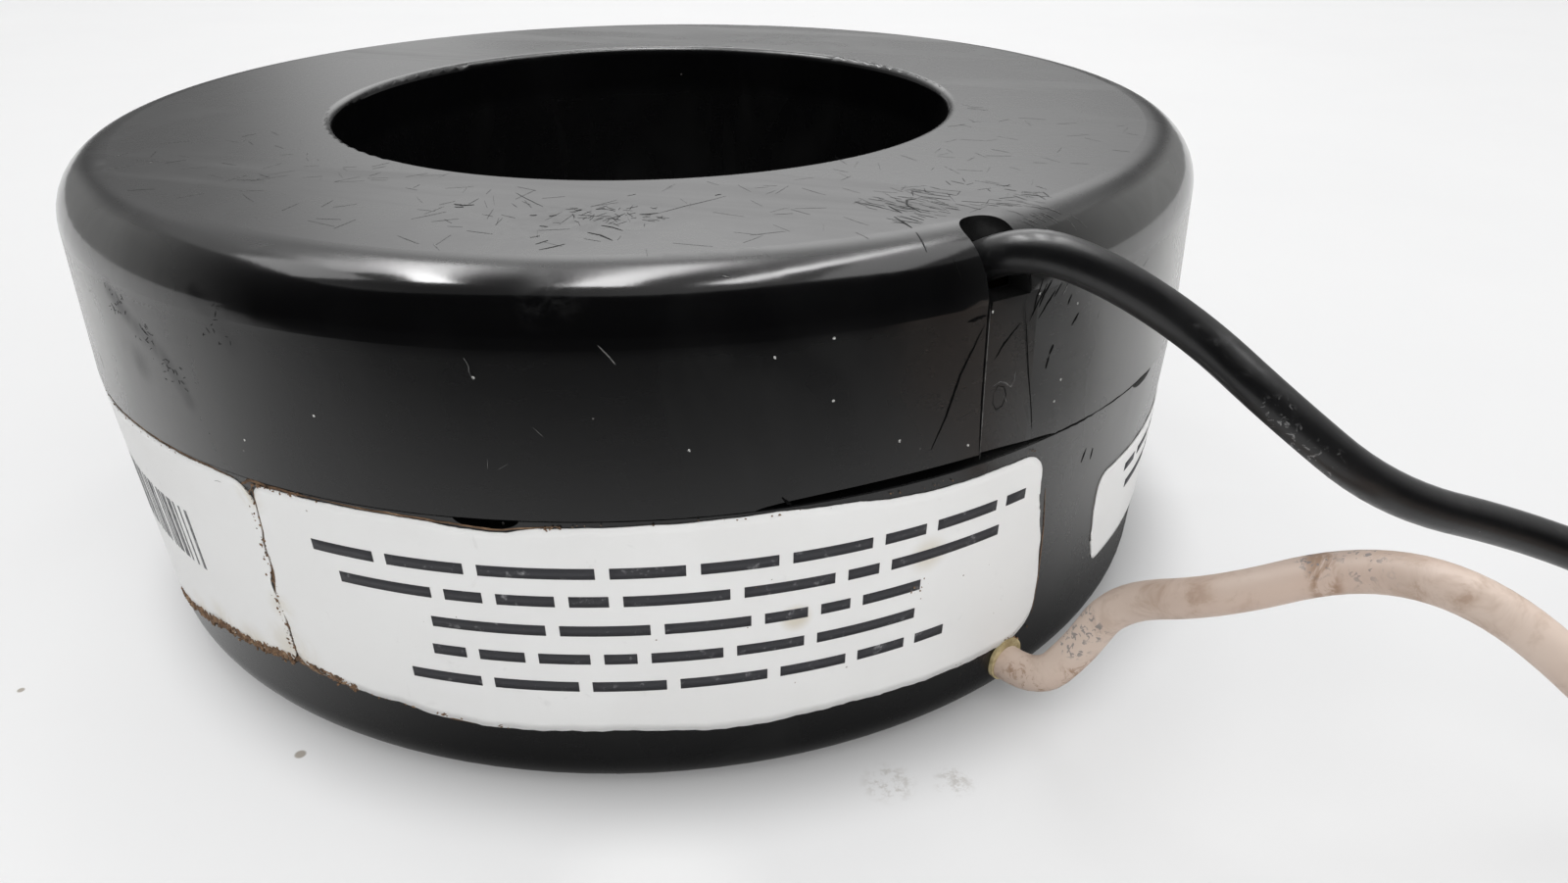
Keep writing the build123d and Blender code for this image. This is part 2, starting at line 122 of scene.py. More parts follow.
def grey(value):
    """A neutral colour."""
    return (value, value, value)


def smooth(low, high, value):
    """Eased share of the way from low to high, for numbers."""
    share = min(1, max(0, (value - low) / (high - low)))
    return share * share * (3 - 2 * share)


def new_object(name, data):
    """A new object in the scene that holds this data."""
    item = bpy.data.objects.new(name, data)
    bpy.context.scene.collection.objects.link(item)
    return item


# ---- camera
def place_camera():
    """The camera stands low in front of the case and looks down into the window."""
    data = bpy.data.cameras.new("camera")
    data.sensor_width = 36
    data.lens = 26.9
    data.clip_start = 0.005
    data.clip_end = 20
    camera = new_object("camera", data)
    gaze = Vector((0.09995, 0.87867, -0.46685))
    roll = Quaternion((0, 0, 1), -0.00283)
    camera.rotation_mode = "QUATERNION"
    camera.rotation_quaternion = gaze.to_track_quat("-Z", "Y") @ roll
    camera.location = (0, -0.127905, 0.071494)
    bpy.context.scene.camera = camera


place_camera()


# ---- shader building
class Socket:
    """A shader value; its operators add the Math nodes that work it out."""

    def __init__(self, finish, link):
        self.finish = finish
        self.link = link

    def math(self, operation, *values):
        return self.finish.add("ShaderNodeMath", {"operation": operation}, dict(enumerate(values)))

    def __add__(self, other):
        return self.math("ADD", self, other)

    def __sub__(self, other):
        return self.math("SUBTRACT", self, other)

    def __rsub__(self, other):
        return self.math("SUBTRACT", other, self)

    def __mul__(self, other):
        return self.math("MULTIPLY", self, other)

    def __abs__(self):
        return self.math("ABSOLUTE", self)

    __radd__ = __add__
    __rmul__ = __mul__

    def rise(self, low, high):
        """0 below low, 1 above high and eased between; low may be the larger."""
        limits = {"Value": self, "From Min": low, "From Max": high}
        return self.finish.add("ShaderNodeMapRange", {"interpolation_type": "SMOOTHSTEP"}, limits)


class NodeWork:
    """Adds nodes to one tree of a material or of the world."""

    def __init__(self, tree):
        self.tree = tree

    def add(self, kind, settings=None, values=None, output=0):
        """Adds a node, makes its settings, fills its sockets with numbers or links and gives one output."""
        node = self.tree.nodes.new(kind)
        for name, value in (settings or {}).items():
            if name == "stops":
                ramp = node.color_ramp
                while len(ramp.elements) < len(value):
                    ramp.elements.new(1)
                for element, (position, colour) in zip(ramp.elements, value):
                    element.position = position
                    element.color = (*colour, 1)
            else:
                setattr(node, name, value)
        for name, value in (values or {}).items():
            self.fill(node.inputs[name], value)
        return Socket(self, node.outputs[output])

    def fill(self, socket, value):
        if isinstance(value, Socket):
            self.tree.links.new(value.link, socket)
        elif isinstance(value, tuple) and socket.type == "RGBA":
            socket.default_value = (*value, 1)
        else:
            socket.default_value = value

    def axes(self, place):
        return [self.add("ShaderNodeSeparateXYZ", {}, {"Vector": place}, axis) for axis in "XYZ"]

    def seen(self):
        """1 for what the camera, a reflection or clear plastic sees, 0 for light on its way to a surface."""
        kinds = ("Camera", "Glossy", "Transmission")
        rays = sum((self.add("ShaderNodeLightPath", output=f"Is {kind} Ray") for kind in kinds), 0)
        return self.add("ShaderNodeMath", {"operation": "MINIMUM"}, {0: rays, 1: 1})


class Finish(NodeWork):
    """A procedural material on one Principled shader."""

    def __init__(self, name, **uniform):
        self.material = bpy.data.materials.new(name)
        self.material.use_nodes = True
        super().__init__(self.material.node_tree)
        self.shader = self.tree.nodes["Principled BSDF"]
        for socket, value in uniform.items():
            self.shader.inputs[socket.replace("_", " ")].default_value = value
        self.place = self.add("ShaderNodeTexCoord", output="Object")
        self.x, self.y, self.z = self.axes(self.place)

    def set(self, **varying):
        """Feeds the shader's varying sockets."""
        for socket, value in varying.items():
            self.fill(self.shader.inputs[socket.replace("_", " ")], value)

    def stretched(self, x, y, z):
        """Object coordinates scaled along each axis, for grain that runs one way."""
        return self.add("ShaderNodeVectorMath", {"operation": "MULTIPLY"}, {0: self.place, 1: (x, y, z)})

    def turned(self, angle, x, y, z):
        """Object coordinates turned about Z and then scaled, for streaks that run at an angle."""
        values = {"Vector": self.place, "Angle": math.radians(angle)}
        turned = self.add("ShaderNodeVectorRotate", {"rotation_type": "Z_AXIS"}, values)
        return self.add("ShaderNodeVectorMath", {"operation": "MULTIPLY"}, {0: turned, 1: (x, y, z)})

    def noise(self, scale, detail=2, roughness=0.5, distortion=0, place=None):
        values = {
            "Vector": place or self.place,
            "Scale": scale,
            "Detail": detail,
            "Roughness": roughness,
            "Distortion": distortion,
        }
        return self.add("ShaderNodeTexNoise", {}, values)

    def specks(self, scale, size, share, place=None):
        """Small round specks: 1 inside one, in this share of the cells of a Voronoi pattern."""
        cells = {"Vector": place or self.place, "Scale": scale}
        distance = self.add("ShaderNodeTexVoronoi", {}, cells, "Distance")
        colour = self.add("ShaderNodeTexVoronoi", {}, cells, "Color")
        chance = self.add("ShaderNodeSeparateColor", {}, {"Color": colour}, "Red")
        return distance.rise(size, size * 0.6) * chance.rise(1 - share, 1.001 - share)

    def near(self, point, reach, soft=0.5, strength=1):
        """A soft patch: its strength close to a point, fading to 0 at a distance."""
        ends = {0: self.place, 1: tuple(point)}
        away = self.add("ShaderNodeVectorMath", {"operation": "DISTANCE"}, ends, "Value")
        return away.rise(reach, reach * (1 - soft)) * strength

    def patches(self, surface, rows):
        """Soft patches added up: where each lies on a surface, then its reach, softness and strength."""
        return sum((self.near(surface(*spot), *look) for spot, *look in rows), 0)

    def mix(self, share, one, other):
        """Blends two colours."""
        settings = {"data_type": "RGBA", "clamp_factor": True}
        return self.add("ShaderNodeMix", settings, {0: share, 6: one, 7: other}, 2)

    def bump(self, height, strength, distance):
        values = {"Height": height, "Strength": strength, "Distance": distance}
        self.set(Normal=self.add("ShaderNodeBump", {}, values))
        return self


def case_plastic():
    """Satin black moulding with smears, fine streaks, scuffs, dust, and a lighter film on its flanks that is
    partly dust and partly painted sheen.
    """
    finish = Finish("case_plastic", IOR=1.5)
    on_top = finish.z.rise(case_top - 0.001, case_top - 0.0002)
    edge = finish.z.rise(shoulder_height - 0.001, shoulder_height + 0.001) * (1 - on_top)
    cloud = finish.noise(38, 3, 0.6)
    smear = finish.noise(110, 4, 0.62, 0.8, finish.stretched(1, 1, 0.35))
    haze = cloud.rise(0.36, 0.66) * smear.rise(0.42, 0.72)
    wipe = finish.noise(60, 4, 0.65, 0.4, finish.turned(24, 0.18, 1.6, 1)).rise(0.5, 0.72)
    rub = finish.noise(900, 3, 0.7, 0, finish.stretched(0.25, 1, 1))
    streaks = (
        finish.specks(260, 0.035, 0.12, finish.turned(35, 0.07, 1, 1))
        + finish.specks(300, 0.035, 0.1, finish.turned(-50, 0.08, 1, 1))
        + finish.specks(340, 0.04, 0.1, finish.turned(80, 0.1, 1, 1))
    ) * on_top
    scuffs = finish.patches(top, (
        ((-5.5, 0.0432), 0.0075, 0.8),
        ((-14, 0.045), 0.0095, 0.9, 0.5),
        ((26, 0.048), 0.006, 0.8, 0.5),
    )) + finish.patches(side, (
        ((-7.5, 0.0442), 0.003, 0.8, 0.7),
        ((-45, 0.0372), 0.01, 0.9, 0.6),
    ))
    scuffs *= finish.noise(420, 4, 0.7, 0.6).rise(0.4, 0.62)
    finger_marks = (
        (-48.3, 0.0399, 0.0013), (-47.3, 0.0392, 0.0014), (-46.3, 0.0386, 0.0014), (-45.2, 0.038, 0.0015),
        (-44, 0.0375, 0.0014), (-42.8, 0.0368, 0.0015), (-41.6, 0.0361, 0.0014), (-40.6, 0.0353, 0.0014),
        (-39.9, 0.0342, 0.0014), (-39.2, 0.033, 0.0012), (-45.6, 0.0345, 0.002), (-35.8, 0.0421, 0.0012),
        (-34.8, 0.0415, 0.0014), (-33.7, 0.0408, 0.0015), (-32.8, 0.0399, 0.0014), (-32.4, 0.0388, 0.0013),
    )
    fingered = finish.patches(side, [((azimuth, z), reach, 0.9) for azimuth, z, reach in finger_marks])
    fingered *= smear.rise(0.3, 0.6)
    # Lighter left and right flanks: partly a dust film, partly painted sheen where the wall turns away.
    flank_film_and_sheen = finish.patches(side, (((-58, 0.032), 0.03, 0.95), ((58, 0.034), 0.037, 0.95)))
    flank_film_and_sheen *= (0.7 + smear * 0.6) * (1 - fingered * 0.75)
    # Painted sheen: a pale band along the left and right flanks.
    painted_rim_sheen = finish.patches(side, (((-60, 0.036), 0.013, 0.9), ((60, 0.036), 0.015, 0.9)))
    dust = finish.specks(420, 0.05, 0.05) * 0.5 + finish.specks(160, 0.03, 0.05)
    hazed = haze * 0.4 * (1 - edge * 0.7) + wipe * on_top * 0.8
    black = finish.mix(hazed, (0.0018, 0.0018, 0.002), (0.0125, 0.0125, 0.0127))
    scuffed = finish.mix(scuffs * 0.4 + streaks * 0.6, black, (0.03, 0.03, 0.0295))
    film_and_sheen_colour = finish.mix(flank_film_and_sheen * (1 - on_top), scuffed, (0.135, 0.135, 0.132))
    film_and_sheen_colour = finish.mix(painted_rim_sheen * (1 - on_top) * (1 - edge), film_and_sheen_colour, (0.34, 0.34, 0.33))
    gloss = 0.27 - edge * 0.16 + haze * 0.04 + wipe * on_top * 0.12 + rub.rise(0.55, 0.8) * 0.03
    finish.set(
        Base_Color=finish.mix(dust * 0.7, film_and_sheen_colour, (0.3, 0.29, 0.27)),
        Roughness=gloss + scuffs * 0.08 + streaks * 0.18 + dust * 0.3,
    )
    grain = finish.noise(1500, 2, 0.5)
    return finish.bump(grain * 0.4 + rub * 0.3 + cloud * 0.6 + scuffs * 0.5, 0.1, 0.00006)


def label_vinyl():
    """White vinyl with rub marks, specks of dirt and yellowed patches."""
    finish = Finish("label_vinyl", IOR=1.46)
    cloud = finish.noise(60, 3, 0.6)
    smudge = finish.noise(260, 4, 0.65, 1.2)
    dirt = finish.specks(520, 0.09, 0.04)
    yellowed = finish.patches(side, (((9.5, 0.0173), 0.0016, 0.7, 0.5), ((21, 0.0205), 0.0022, 0.8, 0.4)))
    white = finish.mix(cloud.rise(0.35, 0.75) * 0.5, (0.775, 0.775, 0.768), (0.71, 0.705, 0.695))
    rubbed = finish.mix(smudge.rise(0.64, 0.8) * 0.28, white, (0.46, 0.45, 0.44))
    stained = finish.patches(side, (
        ((-35.4, 0.01), 0.0042, 0.9), ((-35, 0.015), 0.0022, 0.9, 0.7),
        ((-34.6, 0.026), 0.002, 0.9), ((-46, 0.0085), 0.0035, 0.9),
        ((-41, 0.0088), 0.003, 0.9), ((-51, 0.0075), 0.003, 0.9),
    )) * smudge.rise(0.3, 0.6)
    aged = finish.mix(yellowed + stained * 0.4, rubbed, (0.5, 0.42, 0.27))
    finish.set(
        Base_Color=finish.mix(dirt * 0.7, aged, (0.16, 0.12, 0.09)),
        Roughness=0.34 + cloud * 0.2,
    )
    return finish.bump(finish.noise(700, 2) + smudge, 0.1, 0.00006)


def worn_ink():
    """Dark print, rubbed thin in places."""
    finish = Finish("worn_ink", IOR=1.46)
    wear = finish.noise(900, 3, 0.7)
    finish.set(
        Base_Color=finish.mix(wear.rise(0.58, 0.8) * 0.6, (0.035, 0.035, 0.04), (0.4, 0.4, 0.41)),
        Roughness=0.45 + wear * 0.2,
    )
    return finish


def grime():
    """Dried brown dirt and old adhesive along the labels' edges."""
    finish = Finish("grime")
    clump = finish.noise(900, 4, 0.7)
    tone = finish.add(
        "ShaderNodeValToRGB",
        {"stops": [(0.3, (0.05, 0.03, 0.018)), (0.55, (0.19, 0.11, 0.06)), (0.75, (0.42, 0.31, 0.2))]},
        {"Fac": clump},
    )
    finish.set(Base_Color=tone, Roughness=0.75 + clump * 0.2)
    return finish.bump(clump, 0.6, 0.0002)


def black_insulation():
    """Satin black insulation, greyed where it has been rubbed and on its upper side, which is partly dust
    and partly painted highlight.
    """
    finish = Finish("black_insulation", IOR=1.5)
    cloud = finish.noise(90, 3, 0.6)
    rub = finish.noise(700, 4, 0.7, 0.5)
    dust = finish.specks(900, 0.07, 0.07)
    rubbed_stretch = finish.patches(beyond, (
        ((0.0155, 36.8, 0.034), 0.0019),
        ((0.0171, 37.5, 0.0323), 0.0019),
        ((0.0188, 38.4, 0.0307), 0.0019),
    ))
    # The upper side is greyer: partly settled dust, partly a painted highlight.
    facing = finish.axes(finish.add("ShaderNodeTexCoord", output="Normal"))
    top_dust_and_highlight = facing[2].rise(0.4, 0.95) * (0.5 + rub * 0.6)
    flecks = rubbed_stretch * finish.noise(1300, 3, 0.6, 0.8).rise(0.55, 0.63)
    black = finish.mix(cloud.rise(0.4, 0.7), (0.0045, 0.0045, 0.005), (0.009, 0.009, 0.0095))
    rubbed_and_highlit = finish.mix(rub.rise(0.6, 0.85) * 0.25 + top_dust_and_highlight * 0.6, black, grey(0.08))
    finish.set(
        Base_Color=finish.mix(dust * 0.3 + flecks * 0.55, rubbed_and_highlit, grey(0.3)),
        Roughness=0.27 + cloud * 0.1 + rub.rise(0.5, 0.8) * 0.2,
    )
    return finish.bump(rub + cloud, 0.15, 0.0001)


def white_insulation():
    """Off-white insulation with brown stains and faded print."""
    finish = Finish("white_insulation", IOR=1.48)
    cloud = finish.noise(70, 3, 0.6)
    stain = finish.noise(330, 4, 0.7, 0.6)
    exit_bend = finish.patches(beyond, (
        ((0.0046, 34.4, 0.0072), 0.0032), ((0.0015, 32, 0.004), 0.0034),
    ))
    ring = finish.near(beyond(0.0212, 37.7, 0.0226), 0.0022, 0.25)
    blotch = finish.patches(beyond, (
        ((0.0299, 38.1, 0.0251), 0.0046, 0.7), ((0.0125, 34.4, 0.019), 0.004, 0.5, 0.7),
    ))
    grit = finish.noise(1000, 4, 0.75, 0.8)
    stained = (
        stain.rise(0.5, 0.66) * 0.25 + exit_bend * grit.rise(0.5, 0.6) * stain.rise(0.4, 0.55)
        + ring * stain.rise(0.36, 0.5) + blotch * stain.rise(0.38, 0.6) * 0.5
    )
    faded_print = finish.patches(beyond, (
        ((0.0048, 33.3, 0.0102), 0.0019, 0.3), ((0.0062, 33.9, 0.0124), 0.0019, 0.3),
        ((0.0206, 37.4, 0.0236), 0.0018), ((0.0235, 38.3, 0.0244), 0.0024),
        ((0.026, 38.3, 0.0245), 0.0018),
    ))
    flecks = faded_print * finish.noise(2100, 2, 0.5, 0.8).rise(0.56, 0.61)
    pale = finish.mix(cloud.rise(0.35, 0.7), (0.61, 0.495, 0.42), (0.53, 0.405, 0.335))
    brown = finish.mix(stained * 0.85, pale, (0.27, 0.155, 0.085))
    finish.set(
        Base_Color=finish.mix(flecks * 0.7, brown, (0.14, 0.14, 0.15)),
        Roughness=0.42 + stain * 0.2,
    )
    return finish.bump(stain + cloud, 0.12, 0.0001)


def plain_finish(
    name, dark, light, scale, roughness, metallic=0, depth=0.00005, specular=0.5, lengthways=1
):
    """A finish of two close tones in a grain, for the parts inside the case and the small fittings."""
    finish = Finish(name, Metallic=metallic, Specular_IOR_Level=specular)
    grain = finish.noise(scale, 3, 0.6, 0, finish.stretched(1, 1, lengthways))
    finish.set(
        Base_Color=finish.mix(grain.rise(0.35, 0.65), dark, light),
        Roughness=roughness + grain * 0.15,
    )
    return finish.bump(grain, 0.3, depth)


finishes = {
    "case_plastic": case_plastic(),
    "label_vinyl": label_vinyl(),
    "black_insulation": black_insulation(),
    "white_insulation": white_insulation(),
}
for name, *look in (
    ("core_steel", (0.34, 0.34, 0.36), (0.5, 0.5, 0.52), 900, 0.3, 1, 0.00005, 0.5, 0.05),
    ("cap_plastic", (0.62, 0.57, 0.46), (0.72, 0.67, 0.56), 300, 0.45),
    ("winding_copper", (0.42, 0.13, 0.05), (0.6, 0.24, 0.1), 500, 0.22, 0.9),
    ("pad_rubber", (0.03, 0.03, 0.032), (0.06, 0.06, 0.062), 1200, 0.8, 0, 0.0003),
    ("disc_film", (0.66, 0.58, 0.38), (0.74, 0.68, 0.5), 200, 0.35),
    ("splice_metal", (0.55, 0.54, 0.5), (0.72, 0.71, 0.68), 800, 0.3, 1),
    ("sleeve_plastic", (0.02, 0.02, 0.022), (0.04, 0.04, 0.042), 400, 0.5),
    ("glue", (0.26, 0.2, 0.09), (0.56, 0.47, 0.27), 700, 0.25, 0, 0.0003),
    ("tinned_strand", (0.5, 0.5, 0.48), (0.72, 0.72, 0.7), 1500, 0.28, 1),
    ("tie_nylon", (0.66, 0.64, 0.57), (0.76, 0.745, 0.68), 500, 0.4),
    ("faded_ink", (0.1, 0.1, 0.105), (0.26, 0.26, 0.265), 1400, 0.5),
    ("dull_mark", grey(0.0015), grey(0.006), 2500, 0.75),
    # Near-black marks: real scratches, and painted shadow lines in grooves and along the seam.
    ("deep_mark", grey(0.001), grey(0.003), 2500, 0.8, 0, 0.00005, 0.08),
    ("pale_mark", grey(0.06), (0.2, 0.2, 0.195), 2500, 0.5),
    ("dust_white", (0.35, 0.35, 0.34), (0.7, 0.7, 0.68), 2500, 0.8),
):
    finishes[name] = plain_finish(name, *look)
slot_of = {row["node"]: row["material_slot"] for row in frame["record"]["subparts"]}
for node_name, node in nodes.items():
    node.data.materials.clear()
    node.data.materials.append(finishes[slot_of[node_name]].material)
ink = worn_ink()
dirt = grime()


# ---- mesh building
def new_mesh(name, points, faces, finish):
    """A smooth mesh object with one finish."""
    mesh = bpy.data.meshes.new(name)
    mesh.from_pydata([tuple(p) for p in points], [], faces)
    mesh.validate()
    mesh.materials.append(finish.material)
    mesh.shade_smooth()
    return new_object(name, mesh)


def fit(piece):
    """Makes a piece ride on the case."""
    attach(piece, "root")
    return piece


def add_mesh(name, points, faces, slot, finish=None):
    """A mesh piece, in its slot's own finish or another."""
    return fit(new_mesh(name, points, faces, finish or finishes[slot]))


def grid(columns, rows, place):
    """Points and faces of a grid; place gives the point at a share of its width and of its height."""
    points = [place(i / columns, j / rows) for i in range(columns + 1) for j in range(rows + 1)]
    faces = []
    for i in range(columns):
        for j in range(rows):
            corner = i * (rows + 1) + j
            faces.append((corner, corner + rows + 1, corner + rows + 2, corner + 1))
    return points, faces


def thicken(piece, thickness):
    """Gives a sheet its thickness, outwards from the wall that it lies on."""
    solid = piece.modifiers.new("thickness", "SOLIDIFY")
    solid.thickness = thickness
    solid.offset = 1


# ---- leads with their put-away coils
strand_height = 0.0022
coil_radius = 0.018
row_step = 0.0033
entry_stub = 0.012
turns = 4.25
points_per_turn = 24
shift_arc = 60
coil_shifts = ((290, -row_step), (650, -row_step), (950, row_step / 2), (1240, row_step))
climb_start = 950
tail_over_coil = 0.013
tail_drop = 0.008
tail_on_floor = 0.006
tip_length = 0.006

black_splice_heading = -Vector((math.cos(math.radians(15)), math.sin(math.radians(15)), 0))
black_feed = at(0.047, slot_azimuth, 0.0389)
black_route = [
    black_feed + black_splice_heading * 0.009,
    black_feed,
    beyond(-0.0002, slot_azimuth, case_top - 0.0007),
    beyond(0.0039, 30.9, case_top - 0.002),
    beyond(0.0087, 36.7, case_top - 0.007),
    beyond(0.0156, 37.2, 0.0346),
    beyond(0.0227, 41.4, 0.0276),
    beyond(0.0307, 48.2, 0.0232),
    beyond(0.0394, 50.9, 0.0197),
    beyond(0.0491, 50.6, 0.0088),
    beyond(0.0575, 51.4, strand_height),
    beyond(0.065, 53, strand_height),
]
white_route = [
    at(0.0503, hole_azimuth, 0.0145),
    at(0.0503, hole_azimuth, 0.0051),
    beyond(0.0023, hole_azimuth, 0.0045),
    beyond(0.0047, 34, 0.0086),
    beyond(0.0072, 34.6, 0.0149),
    beyond(0.0157, 34.2, 0.0198),
    beyond(0.0226, 38.8, 0.0234),
    beyond(0.0306, 37.8, 0.026),
    beyond(0.0383, 39.4, 0.0211),
    beyond(0.0472, 41, 0.0121),
    beyond(0.0568, 38.2, strand_height),
    beyond(0.0669, 37.2, strand_height),
]


def strand_radius(turned):
    """Distance of the wire from the coil's axis after it has turned this many degrees."""
    radius = coil_radius + row_step
    for start, shift in coil_shifts:
        radius += shift * smooth(start, start + shift_arc, turned)
    return radius


def strand_lift(turned):
    """Height of the wire over the first layer: it rests on the earlier turns that lie under it."""
    if turned < climb_start:
        return 0
    radius = strand_radius(turned)
    lift = 0
    earlier = turned - 360
    while earlier >= 0:
        if earlier < climb_start:
            apart = abs(radius - strand_radius(earlier))
            lift = max(lift, math.sqrt(max(0, row_step**2 - apart**2)))
        earlier -= 360
    return lift


class Coil:
    """Where a lead's put-away coil lies: its centre, and the directions of its entry and across it."""

    def __init__(self, route):
        self.heading = (route[-1] - route[-2]).normalized()
        self.across = Vector((-self.heading.y, self.heading.x, 0))
        entry = route[-1] + self.heading * entry_stub
        self.centre = entry + self.across * (coil_radius + row_step)
        self.centre.z = 0

    def direction(self, turned):
        a = math.radians(turned)
        return self.heading * math.sin(a) - self.across * math.cos(a)

    def windings(self):
        """Points along the wound turns, from the entry to where the tail leaves."""
        count = int(turns * points_per_turn)
        points = []
        for step in range(count + 1):
            turned = 360 * step / points_per_turn
            height = strand_height + strand_lift(turned)
            out = self.direction(turned) * strand_radius(turned)
            points.append(self.centre + out + Vector((0, 0, height)))
        return points

    def tail(self, start):
        """Points along the tail: over the outer turn, down to the floor and on to the stripped end."""
        floor = Vector((start.x, start.y, strand_height))
        landing = tail_over_coil + tail_drop
        return [
            start + self.across * tail_over_coil * 0.5,
            start + self.across * tail_over_coil,
            floor + self.across * landing,
            floor + self.across * (landing + tail_on_floor),
        ]


def add_curve(name, lines, radius, slot, sides=8, finish=None):
    """Round wires as one curve piece: a smooth spline for each list of points."""
    curve = bpy.data.curves.new(name, "CURVE")
    curve.dimensions = "3D"
    curve.bevel_depth = radius
    curve.bevel_resolution = sides
    curve.resolution_u = 8
    curve.use_fill_caps = True
    curve.materials.append((finish or finishes[slot]).material)
    for line in lines:
        spline = curve.splines.new("NURBS")
        spline.points.add(len(line) - 1)
        for point, place in zip(spline.points, line):
            point.co = (*place, 1)
        spline.order_u = 3
        spline.use_endpoint_u = True
        spline.use_smooth = True
    return fit(new_object(name, curve))


def stripped_end(name, start, heading):
    """Seven tinned strands, twisted, that stand out of the cut insulation."""
    strand = 0.00024
    lay = 0.00047
    root = 0.0004
    up = Vector((0, 0, 1))
    across = heading.cross(up)
    lines = [[start + heading * reach for reach in (-root, tip_length * 0.5, tip_length * 0.96)]]
    for k in range(6):
        line = []
        for step in range(9):
            share = step / 8
            a = math.radians(60 * k + 200 * share)
            spread = lay * (1 + 0.12 * share * share)
            offset = across * math.cos(a) * spread + up * math.sin(a) * spread
            line.append(start + heading * (tip_length * share - root) + offset)
        lines.append(line)
    return add_curve(name, lines, strand, "tinned_strand", 3)


def cable_tie(name, coil):
    """A nylon tie round the five strands: its band, its head and the cut tail."""
    out = (coil.heading - coil.across).normalized()
    along = Vector((0, 0, 1)).cross(out)
    middle = coil.centre + out * coil_radius
    half = row_step + lead_radius
    upper_half = row_step / 2 + lead_radius
    low = strand_height - lead_radius
    high = low + lead_diameter + row_step * math.sin(math.radians(60))
    corner = 0.0006
    waist = strand_height + corner / 2
    inner = [
        (-half, low + corner), (-half + corner, low), (half - corner, low), (half, low + corner),
        (half, waist), (upper_half, high - corner), (upper_half - corner, high),
        (corner - upper_half, high), (-upper_half, high - corner), (-half, waist),
    ]
    thickness = 0.0005
    width = 0.0032
    middle_height = (low + high) / 2
    points = []
    for reach, height in inner:
        away = Vector((reach, height - middle_height)).normalized() * thickness
        for grow in (0.15, 1):
            for edge in (-width / 2, width / 2):
                place = middle + out * (reach + away.x * grow) + along * edge
                points.append(place + Vector((0, 0, height + away.y * grow)))
    faces = []
    count = len(inner)
    for i in range(count):
        here = 4 * i
        after = 4 * ((i + 1) % count)
        faces += [
            (here, here + 1, after + 1, after),
            (here + 2, after + 2, after + 3, here + 3),
            (here, after, after + 2, here + 2),
            (here + 1, here + 3, after + 3, after + 1),
        ]
    head = (0, 0, 0.0044, 0.0042, 0.0026)
    cut_tail = (0.0036, -0.0006, 0.0034, 0.0026, 0.0006)
    for reach, lift, length, breadth, height in (head, cut_tail):
        first = len(points)
        for sx in (-1, 1):
            for sy in (-1, 1):
                for sz in (0, 1):
                    place = middle + out * (reach + sx * length / 2) + along * (sy * breadth / 2)
                    points.append(place + Vector((0, 0, high + lift + sz * height)))
        for quad in ((0, 1, 3, 2), (4, 6, 7, 5), (0, 4, 5, 1), (2, 3, 7, 6), (0, 2, 6, 4), (1, 5, 7, 3)):
            faces.append(tuple(first + v for v in quad))
    tie = add_mesh(name, points, faces, "tie_nylon")
    bevel = tie.modifiers.new("softened_edges", "BEVEL")
    bevel.width = 0.00018
    bevel.segments = 2
    return tie


for colour, route in (("black", black_route), ("white", white_route)):
    coil = Coil(route)
    wound = coil.windings()
    tail = coil.tail(wound[-1])
    lead = add_curve(f"{colour}_lead_wire", [route + wound + tail], lead_radius, f"{colour}_insulation")
    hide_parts(f"{colour}_lead", f"{colour}_lead_coil")
    tip = stripped_end(f"{colour}_lead_strands", tail[-1], coil.across)
    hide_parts(f"{colour}_lead_tip")
    tie = cable_tie(f"{colour}_lead_cable_tie", coil)
    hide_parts(f"{colour}_lead_tie")
    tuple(route[2] if colour == "black" else at(base_radius(hole_height), hole_azimuth, hole_height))


# ---- labels
label_lift = 0.00001
label_thickness = 0.00012
ink_lift = 0.00014
ink_thickness = 0.000008
shortest_word = 2.4
longest_word = 9.5
word_gap = 1.1
random.seed(11)


def wave(knots, position):
    """Smooth curve through given (position, value) knots."""
    for (before, low), (after, high) in zip(knots, knots[1:]):
        if position <= after:
            return low + (high - low) * smooth(before, after, position)
    return knots[-1][1]


def ragged(position, size, seed):
    """Small uneven wander of a cut or torn edge."""
    rates = (1.3, 3.7, 9.1, 23)
    return size * sum(math.sin(position * rate + seed * rate) / rate**0.5 for rate in rates) / 2


def add_label(name, node, left, right, bottom, top_edge, corners, torn, seed):
    """A vinyl label. Its side edges are azimuths by height and its other edges heights by azimuth, in mm."""
    columns = 220
    rows = 24
    crowding = 0.1

    def place(u, v):
        u -= crowding * math.sin(2 * math.pi * u)
        height = bottom[0][1] + (top_edge[0][1] - bottom[0][1]) * v
        low_azimuth, high_azimuth = wave(left, height), wave(right, height)
        azimuth = low_azimuth + (high_azimuth - low_azimuth) * u
        inset = [math.radians(gap) * outer_radius for gap in (azimuth - low_azimuth, high_azimuth - azimuth)]
        edges = []
        for knots, first, sign in ((bottom, 0, 1), (top_edge, 2, -1)):
            edge = wave(knots, azimuth) + ragged(azimuth, torn[first // 2], seed + first)
            pull = 0
            for distance, radius in zip(inset, corners[first:first + 2]):
                if distance < radius / 1000:
                    short = radius / 1000 - distance
                    rise = math.sqrt(max(0, (radius / 1000) ** 2 - short**2))
                    pull = max(pull, radius - 1000 * rise)
            edges.append(edge + sign * pull)
        return side(azimuth, (edges[0] + (edges[1] - edges[0]) * v) / 1000, label_lift)

    points, faces = grid(columns, rows, place)
    label = add_mesh(name, points, faces, "label_vinyl")
    thicken(label, label_thickness)
    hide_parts(node)


